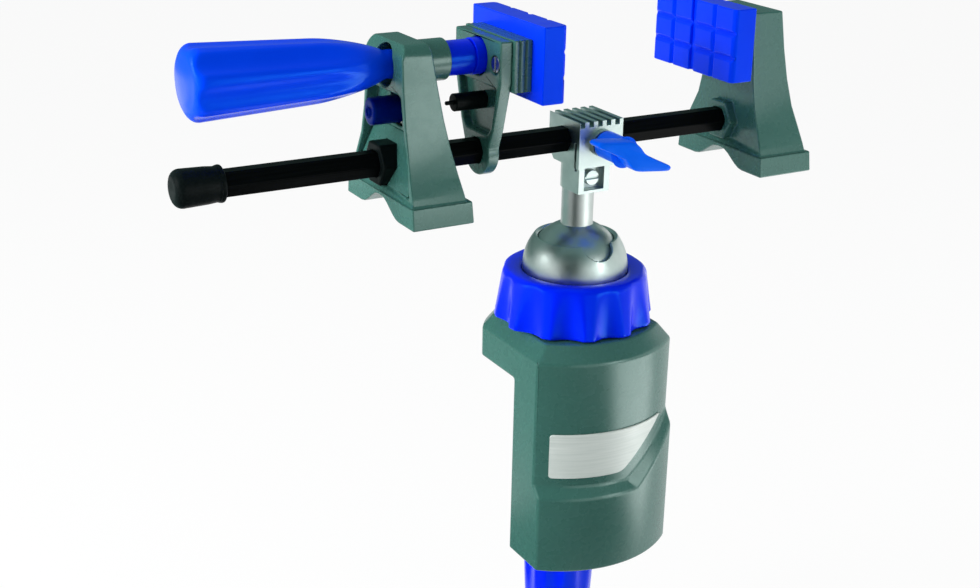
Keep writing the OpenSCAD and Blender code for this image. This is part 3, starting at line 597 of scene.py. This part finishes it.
# Stage: a pale floor just below the knob at its lowest, and a white surround. Soft boxes
# stand to the left, to the right and above, two small lights give the shine, a lit panel
# lies on the right, and six tinted cards are seen by reflections alone.
KNOB_TRAVEL, FLOOR_GAP = 0.025, 0.004
FLOOR_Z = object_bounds()[0].z - KNOB_TRAVEL - FLOOR_GAP
TABLE_Z = FLOOR_Z + KNOB_TRAVEL


def seen_white(made):
    """1 where the eye, metal and glass look, which see plain white."""
    tree = made.node_tree
    rays = tree.nodes.new("ShaderNodeLightPath").outputs
    seen = rays["Is Camera Ray"]
    for other in ("Is Glossy Ray", "Is Transmission Ray"):
        either = tree.nodes.new("ShaderNodeMath")
        either.operation = "MAXIMUM"
        tree.links.new(seen, either.inputs[0])
        tree.links.new(rays[other], either.inputs[1])
        seen = either.outputs[0]
    return seen


bpy.ops.mesh.primitive_plane_add(size=12, location=(0, 0, FLOOR_Z))
floor = bpy.context.object
floor.name = "floor"
paper = bpy.data.materials.new("white_paper")
paper.use_nodes = True
tree = paper.node_tree
matt = tree.nodes["Principled BSDF"]
matt.inputs["Base Color"].default_value = (0.82, 0.82, 0.82, 1)
matt.inputs["Roughness"].default_value = 0.9
glow = tree.nodes.new("ShaderNodeEmission")
glow.inputs["Strength"].default_value = 1.0
white_part = tree.nodes.new("ShaderNodeMath")
white_part.operation = "MULTIPLY"
white_part.inputs[1].default_value = 0.92
tree.links.new(seen_white(paper), white_part.inputs[0])
blend = tree.nodes.new("ShaderNodeMixShader")
tree.links.new(white_part.outputs[0], blend.inputs["Fac"])
tree.links.new(matt.outputs[0], blend.inputs[1])
tree.links.new(glow.outputs[0], blend.inputs[2])
tree.links.new(blend.outputs[0], tree.nodes["Material Output"].inputs["Surface"])
floor.data.materials.append(paper)

world = bpy.data.worlds.new("surround")
world.use_nodes = True
scene.world = world
tree = world.node_tree
dim = tree.nodes["Background"]
dim.inputs["Color"].default_value = (0.95, 1.0, 0.99, 1)
dim.inputs["Strength"].default_value = 0.36
white = tree.nodes.new("ShaderNodeBackground")
white.inputs["Color"].default_value = (1, 1, 1, 1)
white.inputs["Strength"].default_value = 1.0
blend = tree.nodes.new("ShaderNodeMixShader")
tree.links.new(seen_white(world), blend.inputs["Fac"])
tree.links.new(dim.outputs[0], blend.inputs[1])
tree.links.new(white.outputs[0], blend.inputs[2])
tree.links.new(blend.outputs[0], tree.nodes["World Output"].inputs["Surface"])


def aimed(made, place, aim):
    """Puts a lamp or card in its place, facing a point."""
    made.location = place
    made.rotation_mode = "QUATERNION"
    made.rotation_quaternion = (Vector(aim) - Vector(place)).to_track_quat("-Z", "Y")
    scene.collection.objects.link(made)
    return made


def round_spot(azimuth, distance, height):
    """A place round the vise, by its direction in degrees, distance and height."""
    turn = math.radians(azimuth)
    return (distance * math.cos(turn), distance * math.sin(turn), height)


def soft_box(name, place, width, height, power, aim=(0, 0, 0.06)):
    """A rectangular lamp, power in watts, that the eye doesn't see."""
    lamp = bpy.data.lights.new(name, "AREA")
    lamp.shape = "RECTANGLE"
    lamp.size, lamp.size_y = width, height
    lamp.energy = power
    made = aimed(bpy.data.objects.new(name, lamp), place, aim)
    made.visible_camera = False
    return made


def tinted_card(name, shade, place, width, height, aim=(0, 0, 0.06)):
    """A card that only reflections see, shade from 0 for black to 1 for full colour."""
    card = bpy.data.materials.new(name)
    card.use_nodes = True
    tone = card.node_tree.nodes.new("ShaderNodeEmission")
    tone.inputs["Color"].default_value = (0.62, 1.0, 0.93, 1)
    tone.inputs["Strength"].default_value = shade
    surface = card.node_tree.nodes["Material Output"].inputs["Surface"]
    card.node_tree.links.new(tone.outputs[0], surface)
    mesh = bpy.data.meshes.new(name)
    w, h = width / 2, height / 2
    mesh.from_pydata([(-w, -h, 0), (w, -h, 0), (w, h, 0), (-w, h, 0)], [], [(0, 1, 2, 3)])
    mesh.materials.append(card)
    made = aimed(bpy.data.objects.new(name, mesh), place, aim)
    made.visible_camera = made.visible_diffuse = made.visible_shadow = False


for wide in (soft_box("left_box", round_spot(172, 1.25, 0.42), 0.70, 0.70, 22),
             soft_box("key_box", round_spot(-28, 1.25, 0.30), 0.60, 0.60, 7),
             soft_box("top_box", (-0.2, 0.1, 1.5), 1.2, 1.0, 5)):
    wide.visible_glossy = False
for shine in (soft_box("left_shine", round_spot(165, 1.20, 0.50), 0.36, 0.46, 1.6),
              soft_box("front_shine", round_spot(-67, 1.00, 0.20), 0.28, 0.42, 1.4)):
    shine.visible_diffuse = False
soft_box("table_panel", round_spot(-48, 0.515, TABLE_Z + 0.004), 0.34, 0.50, 1.6,
         round_spot(-48, 0.515, 1))
tinted_card("camera_card", 0.05, round_spot(-132, 1.15, 0.35), 1.0, 1.3)
tinted_card("table_card", 0.04, round_spot(-150, 0.56, TABLE_Z + 0.003), 0.85, 0.85,
            round_spot(-150, 0.56, -1))
tinted_card("near_card", 0.04, round_spot(-95, 0.36, TABLE_Z + 0.003), 0.36, 0.40,
            round_spot(-95, 0.36, -1))
tinted_card("left_card", 0.42, round_spot(145, 1.00, TABLE_Z + 0.002), 1.3, 0.9,
            round_spot(145, 1.00, -1))
tinted_card("back_card", 0.20, round_spot(90, 1.70, 0.35), 4.0, 1.06)
tinted_card("ceiling_card", 0.30, (0, 0, 0.9), 4.5, 4.5, (0, 0, 0))

# Camera: the photograph's own view. Its direction, roll and lens were found from straight
# edges and circles of the vise, and it stands where the ball comes out at its own pixel.
VIEW_AZ, VIEW_EL, VIEW_ROLL = math.radians(-29.957), math.radians(20.9), math.radians(1.25)
FOCAL_PX, FRAME_W, FRAME_H = 1518.955, 980, 588
BALL_AT, BALL_PX, BALL_DEPTH = Vector((0, 0, 0.057)), (574.728, 264.938), 0.859406
back = Vector((math.sin(VIEW_AZ) * math.cos(VIEW_EL), -math.cos(VIEW_AZ) * math.cos(VIEW_EL),
               math.sin(VIEW_EL)))
level = Vector((math.cos(VIEW_AZ), math.sin(VIEW_AZ), 0))
rise = back.cross(level)
right = math.cos(VIEW_ROLL) * level + math.sin(VIEW_ROLL) * rise
up = -math.sin(VIEW_ROLL) * level + math.cos(VIEW_ROLL) * rise
across = (BALL_PX[0] - FRAME_W / 2) / FOCAL_PX * BALL_DEPTH
above = -(BALL_PX[1] - FRAME_H / 2) / FOCAL_PX * BALL_DEPTH
eye = bpy.data.cameras.new("photo_view")
eye.sensor_width = 36
eye.lens = FOCAL_PX / FRAME_W * eye.sensor_width
eye.clip_start, eye.clip_end = 0.01, 50
camera = bpy.data.objects.new("photo_view", eye)
stand = BALL_AT - right * across - up * above + back * BALL_DEPTH
camera.matrix_world = Matrix.Translation(stand) @ Matrix((right, up, back)).transposed().to_4x4()
scene.collection.objects.link(camera)
scene.camera = camera
scene.view_settings.view_transform = "Standard"
